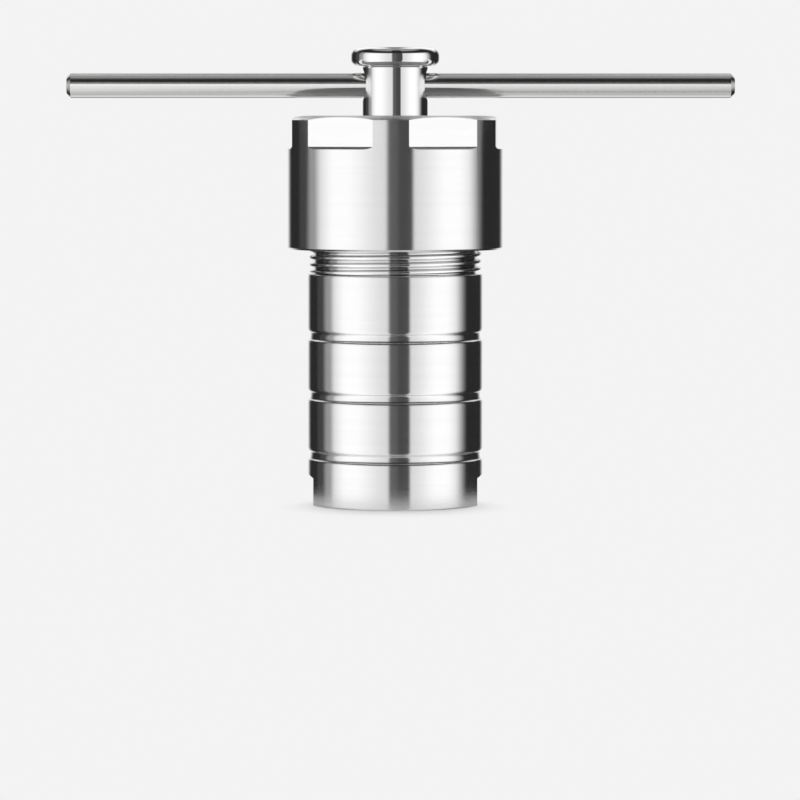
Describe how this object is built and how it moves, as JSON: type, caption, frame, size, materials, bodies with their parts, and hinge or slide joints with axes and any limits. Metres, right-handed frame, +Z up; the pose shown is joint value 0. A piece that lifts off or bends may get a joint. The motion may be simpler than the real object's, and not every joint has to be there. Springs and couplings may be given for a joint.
{
  "type": "hydrothermal reactor",
  "caption": "Stainless hydrothermal reactor: grooved cylindrical vessel with a PTFE liner, closed by a screw cap with spanner flats and a sliding T-bar handle.",
  "frame": {"origin": "centre of the vessel's base, on the vessel's axis, at the mouth of the push-out hole", "axes": "+Z up along the vessel's axis, +X along the T-bar at rest and square to one of the base flats"},
  "size_m": [0.1856, 0.06, 0.127],
  "materials": {
    "satin_steel": "fine turned satin stainless steel",
    "cap_steel": "fine turned satin stainless steel, milled flats",
    "disc_steel": "faced stainless steel",
    "polished_steel": "mirror polished stainless steel",
    "spring_steel": "drawn spring wire",
    "ptfe": "smooth white turned PTFE"
  },
  "bodies": {
    "vessel": {"vessel": "satin_steel", "lower_disc": "disc_steel", "liner_cup": "ptfe", "liner_lid": "ptfe"},
    "pressure_pad": {"pressure_pad": "disc_steel"},
    "cap": {"cap": "cap_steel", "retaining_ring": "spring_steel", "handle_stud": "polished_steel"},
    "tommy_bar": {"tommy_bar": "polished_steel"}
  },
  "joints": [
    {"name": "cap_lift", "type": "slide", "parent": "vessel", "child": "pressure_pad", "axis": [0, 0, 1], "range_m": [0, 0.012]},
    {"name": "cap_turn", "type": "hinge", "parent": "pressure_pad", "child": "cap", "pos_m": [0, 0, 0.09], "axis": [0, 0, 1], "range_deg": [0, 2160]},
    {"name": "bar_slide", "type": "slide", "parent": "cap", "child": "tommy_bar", "axis": [1, 0, 0], "range_m": [-0.084, 0.081]}
  ],
  "couplings": [
    {"joint": "cap_lift", "follows": "cap_turn", "m_per_rad": 0.00031831}
  ]
}
